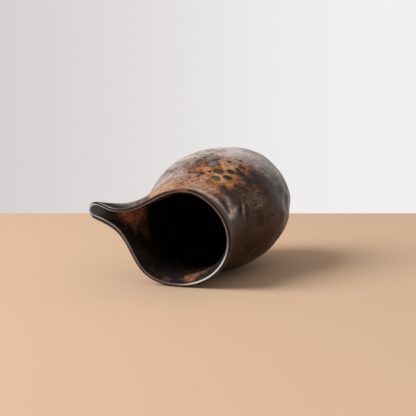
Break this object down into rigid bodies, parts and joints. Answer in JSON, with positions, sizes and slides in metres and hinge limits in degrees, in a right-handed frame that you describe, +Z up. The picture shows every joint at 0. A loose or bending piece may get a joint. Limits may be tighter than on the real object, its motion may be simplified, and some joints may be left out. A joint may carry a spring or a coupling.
{
  "type": "sake bottle",
  "caption": "Hand-built stoneware sake pourer with a swelling belly, a waisted neck, a wide round mouth and a pulled spout, lying on its side",
  "frame": {"origin": "on the table under the middle of the belly's flat, as the pot lies on its side on the belly's flat and the rim", "axes": "+Z up from the table; -Y towards the mouth, so that the pot's own axis runs from the foot at +Y to the mouth at -Y, 5.9 degrees lower at the mouth; the spout points to -X, 21 degrees above the horizontal"},
  "size_m": [0.0922, 0.1447, 0.0764],
  "materials": {
    "iron_glaze": "glossy brown-black iron glaze over hammered stoneware",
    "rust_glaze": "glossy iron glaze broken to mottled rust brown",
    "bare_clay": "unglazed iron-rich stoneware, matt"
  },
  "bodies": {
    "root": {"base_disc": "bare_clay", "foot_ring": "bare_clay", "lower_wall": "iron_glaze", "belly_wall": "iron_glaze", "shoulder": "rust_glaze", "neck": "rust_glaze", "rim_coil": "iron_glaze", "spout": "iron_glaze"}
  },
  "joints": []
}
